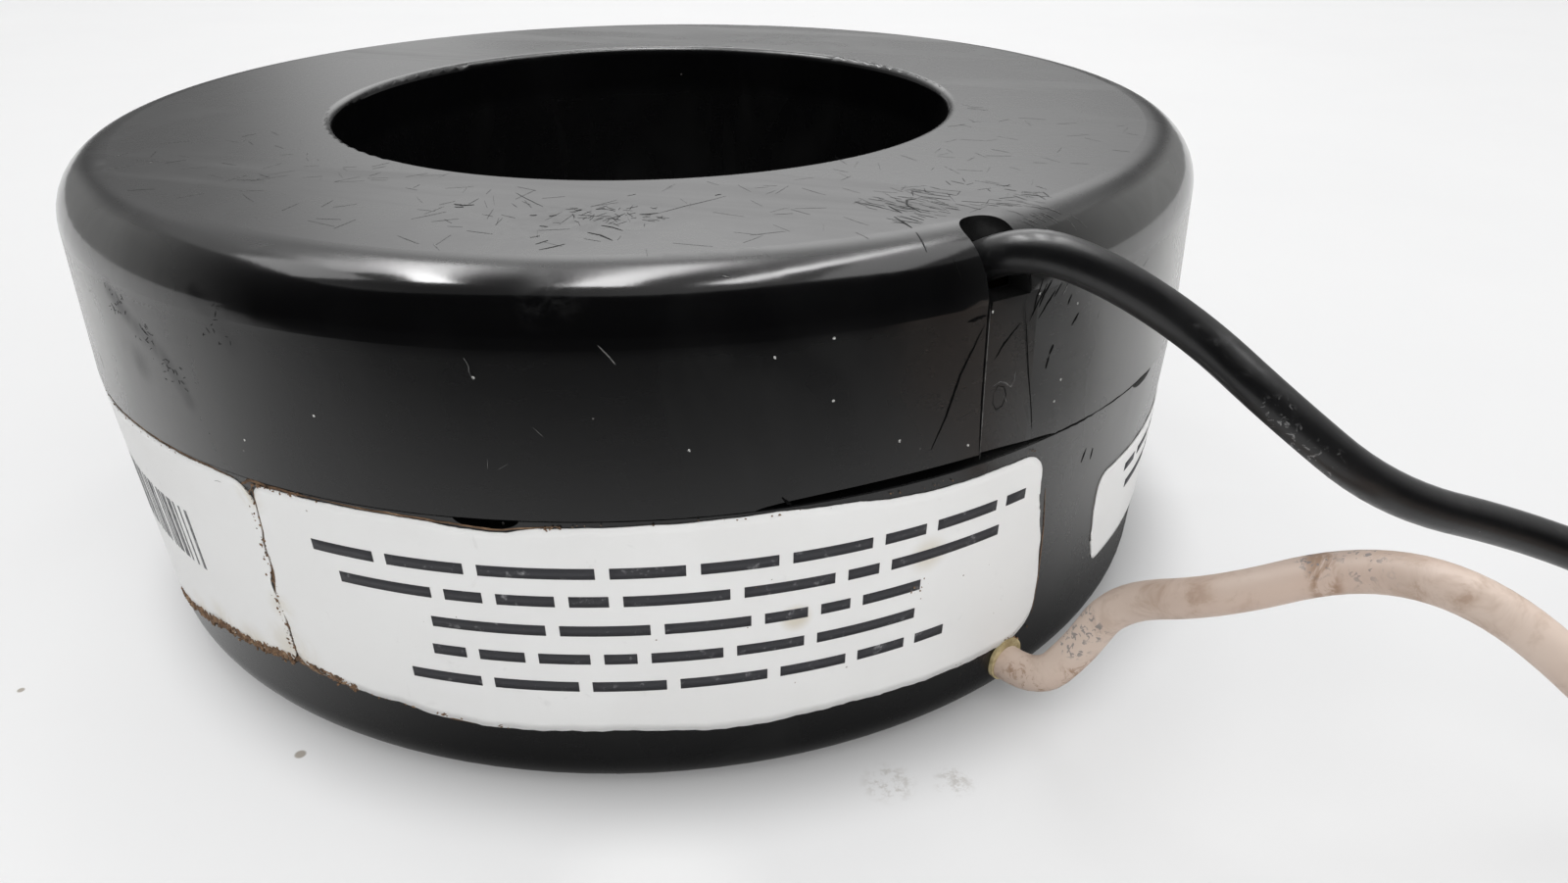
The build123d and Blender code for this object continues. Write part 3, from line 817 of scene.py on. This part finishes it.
main_left = [
    (9, -34.9), (10.3, -34.9), (12.9, -34.8), (15.5, -35.3), (19.5, -34.5), (21.7, -34.6), (24, -34.2),
    (27.3, -34),
]
main_bottom = [
    (-35.3, 9.7), (-33.6, 9.1), (-31, 8.7), (-28.5, 8.35), (-25, 8.2), (-19.8, 7.5), (-15.4, 7.2),
    (-5, 7.4), (5, 6.8), (14, 7.1), (24, 6.9), (28.7, 6.9), (35.1, 7.1),
]
main_top = [
    (-34, 27.3), (-24, 27.25), (-19, 27.15), (-15.5, 26.75), (-12.5, 26.6), (-9.5, 27.1), (0, 27.25),
    (8, 27.4), (13.5, 27.15), (18, 26.65), (22, 26.45), (33.4, 26.6),
]
main_right = [(7, 35.1), (12.5, 35), (18, 34.4), (22.3, 33.6), (24.5, 33.1), (27, 32.9)]
add_label(
    "main_label_sheet", "main_label", main_left, main_right, main_bottom, main_top,
    (0.8, 3, 1.2, 2.6), (0.1, 0.05), 1,
)
left_right = [(height, azimuth - 0.25) for height, azimuth in main_left]
left_bottom = [
    (-80, 6.6), (-60.7, 5.2), (-52.6, 7), (-47.9, 8.35), (-43, 8.55), (-38.8, 8.85), (-35.2, 9.3),
]
left_top = [(-80, 26.8), (-58, 26.9), (-51, 27.35), (-39, 27.35), (-36.6, 27.25), (-34.5, 26.7)]
add_label(
    "left_label_sheet", "left_label", [(0, -80), (28, -80)], left_right, left_bottom, left_top,
    (3, 1, 3, 1.6), (0.28, 0.06), 5,
)
right_left = [(9, 45.6), (13.6, 44.2), (17.2, 43.6), (19.4, 43.5)]
add_label(
    "right_label_sheet", "right_label", right_left, [(0, 84), (28, 84)],
    [(43, 9.4), (84, 9.5)], [(43, 19.85), (84, 19.8)],
    (0.8, 1, 1.6, 1), (0.04, 0.04), 9,
)


# ---- generic print: plain bars instead of words
def add_bars(name, bars, finish):
    """Thin flat bars of ink on the labels: (left, right, low, high) for each."""
    points = []
    faces = []
    for left, right, low, high in bars:
        first = len(points)
        columns = max(2, int((right - left) / 0.8))
        bar_points, bar_faces = grid(
            columns, 1, lambda u, v: side(left + (right - left) * u, low + (high - low) * v, ink_lift)
        )
        points += bar_points
        faces += [tuple(first + v for v in face) for face in bar_faces]
    thicken(add_mesh(name, points, faces, "label_vinyl", finish), ink_thickness)


def word_bars(rows, bar_height):
    """Bars of word-like lengths that fill each (middle height, left, right) row."""
    bars = []
    for middle, left, right in rows:
        start = left
        while start < right - 0.5:
            end = min(right, start + random.uniform(shortest_word, longest_word))
            if right - end < shortest_word:
                end = right
            bars.append((start, end, middle - bar_height / 2, middle + bar_height / 2))
            start = end + word_gap
    return bars


main_rows = (
    (0.0231, -29, 31), (0.0205, -27, 28.3), (0.0177, -19.4, 20.5), (0.0149, -19.8, 20.2),
    (0.0121, -22.2, 23.4),
)
add_bars("main_label_print", word_bars(main_rows, 0.001), ink)
stripes = []
stripe = -61
while stripe < -46:
    stripe_width = random.choice((0.3, 0.3, 0.5, 0.8))
    stripes.append((stripe, stripe + stripe_width, 0.0147, 0.0208))
    stripe += stripe_width + random.choice((0.3, 0.45, 0.8))
add_bars("left_label_print", stripes, finishes["faded_ink"])
right_rows = ((0.0178, 50, 68), (0.0153, 51.5, 66))
add_bars("right_label_print", word_bars(right_rows, 0.0009), ink)


# ---- marks of use: scratches, specks, dried dirt and fibres; also painted shadow lines in the strip's grooves and along the seam, and a painted highlight along the strip's left edge
mark_lift = 0.00001
mark_thickness = 0.00001
steps_per_stretch = 7
usual_radius = 50


def add_scratches(name, surface, marks, finish, slot="case_plastic"):
    """Thin tapered marks on a surface: each one's half width, then the places it runs through, in mm."""
    points = []
    faces = []
    for half_width, *places in marks:
        path = []
        for (azimuth, value), (next_azimuth, next_value) in zip(places, places[1:]):
            for step in range(steps_per_stretch):
                share = step / steps_per_stretch
                wander = random.uniform(-0.4, 0.4) * half_width
                here = value + (next_value - value) * share + wander
                path.append((azimuth + (next_azimuth - azimuth) * share, here / 1000))
        path.append((places[-1][0], places[-1][1] / 1000))
        first = len(points)
        last = len(path) - 1
        for i, (azimuth, value) in enumerate(path):
            here = surface(azimuth, value, mark_lift)
            forward = surface(*path[min(last, i + 1)], mark_lift) - surface(*path[max(0, i - 1)], mark_lift)
            out = surface(azimuth, value, 2 * mark_lift) - here
            taper = math.sin(math.pi * (i + 0.3) / (last + 0.6)) ** 0.6
            aside = forward.cross(out).normalized() * half_width * taper * random.uniform(0.7, 1.1) / 1000
            points += [here - aside, here + aside]
        for i in range(last):
            corner = first + 2 * i
            faces.append((corner, corner + 1, corner + 3, corner + 2))
    thicken(add_mesh(name, points, faces, slot, finish), mark_thickness)


def hairlines(count, azimuths, values, length, half_width, headings=(0, 360)):
    """Random short straight scratches within a patch; lengths are in mm and headings in degrees."""
    marks = []
    for _ in range(count):
        azimuth = random.uniform(*azimuths)
        value = random.uniform(*values)
        angle = math.radians(random.uniform(*headings))
        reach = random.uniform(0.4, 1) * length
        turn = math.degrees(reach * math.cos(angle) / usual_radius)
        end = (azimuth + turn, value + reach * math.sin(angle))
        marks.append((half_width * random.uniform(0.6, 1.2), (azimuth, value), end))
    return marks


add_scratches("cover_wall_scratches_and_gap_shadows", side, [
    # The first three lines are painted shadow in the grooves along the strip's left and right edges.
    (0.1, (24.93, 41.2), (24.86, 37), (24.86, 33), (24.95, 28.6)),
    (0.06, (24.9, 41.4), (24.8, 38)),
    (0.05, (28.5, 40.3), (29, 37.7), (29.6, 34.3), (30.3, 31), (30.6, 29.2)),
    (0.1, (24.6, 39.3), (22.6, 35.8), (21.5, 32.7), (20.3, 30.2)),
    (0.14, (23, 39.9), (24.7, 40)),
    (0.09, (31.4, 41.3), (30.6, 40.4), (30.1, 39.5)),
    (0.07, (30.4, 41.6), (29.8, 40.4), (29.6, 39.4)),
    (0.08, (31.9, 40.4), (31, 39.5), (30.2, 38.6)),
    (0.06, (30.9, 41.2), (30, 39.9), (29.2, 38.6)),
    (0.05, (32.6, 40.9), (31.8, 39.9)),
    (0.09, (34, 39.6), (33.6, 38.9)),
    (0.1, (35.2, 37.8), (34.4, 37)),
    (0.1, (32.3, 35.9), (31.9, 35.2)),
    (0.09, (31.9, 35.1), (31.6, 34.1)),
    (0.12, (39.4, 24.3), (39, 23)),
    (0.1, (40.7, 23.8), (40.6, 22.7)),
    (0.14, (8.2, 28.6), (8.9, 27.9)),
    # These two lines are painted shadow along the seam under the cover's edge.
    (0.1, (31.5, 27.85), (36, 27.76), (40, 27.74)),
    (0.07, (39, 27.74), (44, 27.74), (50.5, 27.8)),
    (0.05, (22.4, 44.2), (22.6, 42.8)),
] + hairlines(18, (-49, -45.8), (38, 40), 0.5, 0.025)
  + hairlines(16, (-45.2, -42.2), (36.4, 38.2), 0.5, 0.025)
  + hairlines(18, (-41.8, -39.2), (33.8, 36.2), 0.5, 0.025)
  + hairlines(14, (-36, -32.4), (38.6, 41.8), 0.5, 0.02), finishes["deep_mark"])
add_scratches("cover_wall_pale_scratches", side, [
    (0.05, (-4.2, 41.2), (-3.6, 40.5), (-3.1, 39.8)),
    (0.05, (33.4, 40.6), (32.8, 39.8)),
] + hairlines(9, (-60, 60), (29.5, 40), 1.4, 0.016), finishes["pale_mark"])
add_scratches("cover_wall_specks", side, [
    (0.11, (azimuth, height), (azimuth + 0.16, height - 0.08))
    for azimuth, height in (
        (7.7, 39.6), (12, 40.5), (12, 35.8), (34.8, 38.7), (33.6, 32.6), (33, 30.9), (23.7, 29.8),
        (30, 40.6), (25.2, 40.2), (-26, 34.6), (-13, 38.8), (1.5, 33.2), (-33.5, 31.2), (17.4, 31.6),
    )
], finishes["dust_white"])
add_scratches("strip_marks", strip, [
    (
        0.04, (26.2, 33.3), (26.6, 33.9), (27.2, 33.7), (27.5, 33), (27.2, 32.1), (26.6, 31.9),
        (26.2, 32.5), (26.2, 33.3),
    ),
    (0.09, (28.4, 38.6), (26.9, 37.3), (26.1, 36.2)),
], finishes["deep_mark"])
add_scratches("strip_pale_marks_and_edge_highlight", strip, [
    (0.045, (26.1, 34), (26.8, 34.2), (27.3, 34), (27.9, 33.5), (28.2, 33.9), (28.3, 34.7)),
    (0.04, (27.3, 32.9), (27.6, 32.3)),
    # Painted highlight: a pale line along the strip's left edge, beside its dark groove.
    (0.035, (25.3, 40.3), (25.25, 34), (25.3, 28)),
], finishes["pale_mark"])
add_scratches("cover_top_scratches", top, [
    (0.08, (22.9, 45.7), (22.7, 47.8)),
    (0.08, (21.5, 48.3), (21.1, 51.2)),
    (0.064, (20.9, 52), (20.5, 54)),
    (0.08, (26.6, 45.4), (25.6, 45.2), (24.6, 46.2), (24.3, 48.4)),
    (0.04, (27, 44.6), (27.9, 43.6)),
    (0.04, (28.9, 44.4), (29.7, 43.5)),
    (0.128, (-22, 40.5), (-20.8, 40.7), (-19.7, 40.3)),
    (0.08, (-21.4, 41.2), (-20.4, 41.1)),
    (0.096, (-12.5, 42.3), (-11.8, 42.2)),
    (0.088, (-10.5, 42.3), (-9.8, 42.1)),
    (0.088, (-10.6, 44.8), (-9.8, 44.9)),
    (0.08, (-8.1, 40.8), (-7.5, 40.6)),
    (0.088, (-6.1, 40.5), (-5.2, 40.3)),
    (0.096, (-1.4, 42.1), (0.5, 41.9)),
    (0.02, (0.5, 41.9), (3.4, 40.4), (8.6, 38.4)),
    (0.08, (-4.9, 44.6), (-3.9, 45), (-2.8, 45.9)),
    (0.088, (-5.9, 46.2), (-4.7, 46.8), (-3.5, 48.1)),
    (0.056, (-9.1, 50.1), (-8.2, 49.5), (-7.3, 48.8)),
    (0.04, (-9.7, 48.9), (-8.9, 48)),
    (0.056, (7.4, 38), (8.2, 37.8)),
    (0.024, (-17, 36.6), (-14, 38.6), (-12, 40)),
] + hairlines(70, (-75, 75), (33.5, 50.5), 3, 0.008)
  + hairlines(55, (-9, 0.5), (40.2, 44.4), 1.3, 0.021)
  + hairlines(16, (-22, -3), (37, 50), 3, 0.012)
  + hairlines(50, (20.5, 29.5), (43, 50), 1.9, 0.02, (55, 82))
  + hairlines(16, (30.5, 37), (44, 52), 1.5, 0.022), finishes["dull_mark"])
add_scratches("cover_top_pale_scratches", top, [
    (0.06, (31.2, 52.9), (32, 53.8)),
    (0.06, (32.2, 52.8), (33, 53.9)),
    (0.05, (33.4, 52.9), (34.3, 54.1)),
    (0.05, (34.6, 52.6), (35.2, 53.6)),
    (0.1, (4.6, 54), (5.1, 54.1)),
    (0.12, (-10.6, 47.4), (-9.9, 47)),
    (0.06, (-3, 37), (-2, 36.6)),
] + hairlines(22, (22.5, 31), (43, 49.5), 1.7, 0.02, (55, 82))
  + hairlines(24, (30.5, 36.5), (48, 54), 1.9, 0.024, (50, 80))
  + hairlines(30, (-70, 80), (34, 51), 2.4, 0.016)
  + hairlines(80, (-75, 75), (33.5, 50.5), 3, 0.008), finishes["pale_mark"])


def add_crumbs(name, clusters, finish):
    """Lumpy grains of dried dirt: each cluster's number, largest half width, ends and spread, in mm."""
    crumbs = bmesh.new()
    for count, largest, (azimuth, height), (far_azimuth, far_height), spread in clusters:
        for _ in range(count):
            share = random.random()
            value = height + (far_height - height) * share + random.gauss(0, 1) * spread
            place_azimuth = azimuth + (far_azimuth - azimuth) * share + random.gauss(0, 0.3)
            centre = side(place_azimuth, value / 1000, label_thickness)
            size = largest * random.uniform(0.25, 1) ** 1.6 / 1000
            turn = centre.copy()
            turn.z = 0
            facing = turn.to_track_quat("Z", "Y") @ Quaternion((0, 0, 1), random.uniform(0, math.pi))
            shape = Matrix.LocRotScale(centre, facing, (size, size * random.uniform(0.35, 0.8), size * 0.4))
            lump = bmesh.ops.create_icosphere(crumbs, subdivisions=1, radius=1, matrix=shape)
            for corner in lump["verts"]:
                corner.co += Vector(random.uniform(-0.25, 0.25) * size for _ in range(3))
    mesh = bpy.data.meshes.new(name)
    crumbs.to_mesh(mesh)
    crumbs.free()
    mesh.materials.append(finish.material)
    mesh.shade_smooth()
    fit(new_object(name, mesh))


add_scratches("label_joint_dirt", side, [
    (0.26, *((azimuth - 0.12, height) for height, azimuth in main_left[::-1])),
    (0.16, (-35.6, 26.6), (-34.3, 27.5), (-32, 27.5), (-27, 27.45)),
    (0.1, (-27, 27.45), (-19, 27.3), (-13, 26.8), (-8, 27.3)),
    (0.3, (-36.8, 9), (-35.3, 9.3), (-33.4, 8.9), (-30, 8.4)),
    (0.34, (-52, 7), (-47.5, 8.2), (-43, 8.4), (-38.8, 8.7), (-36, 9)),
    (0.24, (-61, 5.2), (-56, 6), (-52, 7)),
    (0.08, (-24, 8.05), (-19.8, 7.4), (-15.4, 7.1)),
    (0.1, (-60, 26.9), (-51, 27.45), (-39, 27.45), (-36, 27.2)),
    (0.07, (33.9, 22.4), (34.7, 18), (35.3, 12.5), (35.3, 8.4)),
], dirt, "label_vinyl")
add_crumbs("label_edge_dirt", [
    (150, 0.42, (-60, 5.4), (-52.6, 7), 0.2),
    (120, 0.4, (-52.6, 7), (-47, 8.3), 0.22),
    (220, 0.42, (-47, 8.3), (-35.6, 9.3), 0.24),
    (90, 0.34, (-35.2, 9.6), (-28.5, 8.4), 0.18),
    (26, 0.2, (-28, 8.3), (-14, 7.3), 0.1),
    (34, 0.22, (-35.3, 10), (-35.4, 15.5), 0.1),
    (56, 0.24, (-35.2, 15.5), (-34.4, 27), 0.12),
    (34, 0.2, (-34, 27.3), (-28, 27.4), 0.1),
    (14, 0.16, (-9.5, 27.1), (-7, 27.3), 0.08),
    (30, 0.13, (-7, 27.4), (33, 26.9), 0.1),
    (26, 0.16, (-62, 27), (-36, 27.4), 0.1),
    (10, 0.18, (24, 7), (34.5, 7.4), 0.1),
    (12, 0.26, (31.6, 7.2), (33.8, 6.4), 0.3),
    (9, 0.2, (20, 17.2), (21, 17.8), 0.3),
    (26, 0.1, (-33, 12), (33, 22), 4),
], dirt)


def add_fibres(name, fibres, finish):
    """Fine loose fibres that cling to the wall, each through a few places in mm."""
    radius = 0.000018
    lifts = (0.00008, 0.0002)
    lines = [
        [side(azimuth, height / 1000, lifts[i % 2]) for i, (azimuth, height) in enumerate(fibre)]
        for fibre in fibres
    ]
    add_curve(name, lines, radius, "case_plastic", 1, finish)


add_fibres("loose_fibres", [
    [(-13.4, 40.2), (-13, 39.7), (-13.2, 39.2), (-12.9, 38.8)],
    [(-39, 26), (-38.2, 26.6), (-37.6, 26.2)],
], finishes["pale_mark"])


# ---- stage: floor, light and background
def floor_finish():
    """Pale floor with faint smudges, which glows a little where it is seen; the glow fades near the case as
    a painted contact shadow, rises in a painted pool of light ahead of it and drops in a painted shade to
    its front right.
    """
    finish = Finish("floor", Specular_IOR_Level=0.2, Roughness=0.6, Emission_Strength=1)
    seen = finish.seen()
    cloud = finish.noise(14, 4, 0.6)
    spots = finish.specks(70, 0.05, 0.05) * finish.noise(300, 3, 0.6).rise(0.45, 0.6)
    brown = finish.near((-0.0331, -0.0462, 0), 0.0006, 0.4) + finish.near((-0.0612, -0.0343, 0), 0.0004, 0.4)
    dusty = finish.near((0.017, -0.0556, 0), 0.0028, 0.7) + finish.near((0.0225, -0.056, 0), 0.0022, 0.7)
    dusty *= finish.noise(900, 4, 0.7).rise(0.45, 0.62)
    marked = spots * 0.3 + dusty * 0.5 + brown
    pale = finish.mix(seen, grey(0.84), grey(0.31))
    finish.set(Base_Color=finish.mix(marked, pale, (0.16, 0.14, 0.11)))
    # Painted contact shadow: the glow fades round the case's foot.
    away = 1 - finish.near((0.0022, -0.001, 0), 0.0615, 0.2)
    # Painted pool of light ahead of the case.
    painted_light_ahead = finish.near((-0.003, -0.0655, 0), 0.011, 0.8)
    # Painted shade to the front right of the case.
    painted_shade_right = finish.near((0.034, -0.054, 0), 0.016, 1)
    glow = finish.mix(cloud, grey(0.53), (0.49, 0.49, 0.495))
    glow = finish.mix(painted_light_ahead * 0.9, glow, grey(0.6))
    glow = finish.mix(painted_shade_right * 0.5, glow, grey(0.42))
    dimmed = finish.mix(marked * 0.7, glow, (0.12, 0.1, 0.08))
    finish.set(Emission_Color=finish.mix(seen * (0.25 + 0.75 * away), grey(0), dimmed))
    return finish


def build_floor():
    """A wide pale floor."""
    size = 3
    points, faces = grid(4, 4, lambda u, v: Vector(((u - 0.5) * size, (v - 0.5) * size, 0)))
    new_mesh("floor", points, faces, floor_finish())


def add_card(name, columns, rows, place, shade):
    """A card that only reflections see; shade takes its finish and gives its brightness."""
    finish = Finish(name, Base_Color=(0, 0, 0, 1), Specular_IOR_Level=0, Emission_Strength=1)
    dark, pale = grey(0.01), grey(0.88)
    finish.set(Emission_Color=finish.mix(shade(finish), dark, pale))
    card = new_mesh(name, *grid(columns, rows, place), finish)
    card.visible_camera = False
    card.visible_diffuse = False
    card.visible_transmission = False
    card.visible_shadow = False


def build_cards():
    """A tall curved dark card round the case that greys towards its ends, and one on the floor that puts
    shade into reflections: a painted shadow ahead of the case and painted contact shade round its foot.
    """
    reach = 1.45
    middle = 0.02
    card_lift = 0.0008
    lowest = -2

    def curved(u, v):
        azimuth = -144 + 290 * u
        highest = 62 - 18 * smooth(35, 80, abs(azimuth)) - 15 * smooth(100, 140, abs(azimuth))
        elevation = math.radians(lowest + (highest - lowest) * v)
        return at(reach * math.cos(elevation), azimuth, reach * math.sin(elevation))

    def flat(u, v):
        return at(middle + (reach - middle) * v**2, -80 + 160 * u, card_lift)

    def floor_shade(finish):
        # Painted shadow on the floor ahead of the case, dark in reflections.
        ahead = (1 - finish.near((0, 0, 0), 0.15, 0.4)) * finish.y.rise(-0.06, -0.13)
        # Painted contact shade round the foot, weaker to the left.
        foot = finish.near((0, 0, 0), 0.075, 0.25) * finish.x.rise(-0.065, -0.015)
        return 1 - ahead * 0.98 - foot * 0.85

    add_card("tall_dark_card", 48, 8, curved, lambda finish: finish.y.rise(-0.6, 0.9) * 0.3)
    add_card("floor_painted_shade_card", 24, 12, flat, floor_shade)


def build_world():
    """Soft surroundings: a white backdrop that brightens overhead and behind."""
    world = bpy.data.worlds.new("surroundings")
    bpy.context.scene.world = world
    world.use_nodes = True
    room = NodeWork(world.node_tree)
    background = room.tree.nodes["Background"]
    direction = room.add("ShaderNodeTexCoord", output="Generated")
    x, _, z = room.axes(direction)
    high = z.rise(0.15, 0.4)
    backdrop = (1 - abs(x - 0.11).rise(0.12, 0.5)) * 2.15 + 0.55
    low_left = (1 - abs(x + 0.2).rise(0.02, 0.13)) * (1 - high)
    ceiling = z.rise(0.6, 0.84)
    shown = 0.14 + low_left * 0.6 + backdrop * high * (1 - ceiling * 0.75)
    shed = 0.3 + 0.42 * z.rise(0.1, 0.5)
    room.fill(background.inputs["Color"], (1, 1, 1))
    seen = room.seen()
    room.fill(background.inputs["Strength"], seen * shown + (1 - seen) * shed)


def add_soft_box(name, width, length, radiance):
    """A rectangular light with the radiance of its own surface."""
    data = bpy.data.lights.new(name, "AREA")
    data.shape = "RECTANGLE"
    data.size = width
    data.size_y = length
    data.energy = radiance * math.pi * width * length
    box = new_object(name, data)
    box.visible_camera = False
    return box


def add_lamp(name, azimuth, elevation, distance, width, height, radiance):
    """A soft box that lights the case but isn't mirrored in it."""
    lamp = add_soft_box(name, width, height, radiance)
    rise = math.radians(elevation)
    lamp.location = at(distance * math.cos(rise), azimuth, distance * math.sin(rise))
    lamp.rotation_mode = "QUATERNION"
    lamp.rotation_quaternion = (-lamp.location).to_track_quat("-Z", "Y")
    lamp.visible_glossy = False


def add_pane(name, x, y, width, length, turn, radiance):
    """A pane under the ceiling that is mirrored in the case but sheds no light on it."""
    pane_height = 1.2
    pane = add_soft_box(name, width, length, radiance)
    pane.location = (x, y, pane_height)
    pane.rotation_euler = (0, 0, math.radians(turn))
    pane.visible_diffuse = False


build_floor()
build_cards()
build_world()
for lamp in (
    ("window_left", -131, 62, 1.2, 0.13, 0.2, 15),
    ("window_middle", 175, 66, 1.2, 0.2, 0.24, 7),
    ("window_right", 136, 64, 1.2, 0.14, 0.36, 9),
    ("front_fill", 2, 50, 1, 0.9, 0.6, 2.2),
    ("right_fill", 76, 12, 1.2, 0.5, 0.5, 4),
):
    add_lamp(*lamp)
for pane in (
    ("left_pane", -0.505, 0.41, 0.12, 0.92, -9, 26),
    ("left_side_pane", -0.71, 0.48, 0.2, 0.5, 0, 5),
    ("middle_pane", -0.04, 0.22, 0.16, 0.88, -15, 17),
    ("right_pane", 0.4, 0.15, 0.11, 1, -26, 15),
    ("far_left_pane", -1, 0.3, 0.42, 0.6, 0, 3),
    ("far_right_pane", 0.7, 0.02, 0.44, 0.9, 0, 2.3),
):
    add_pane(*pane)
bpy.context.scene.view_settings.view_transform = "Standard"
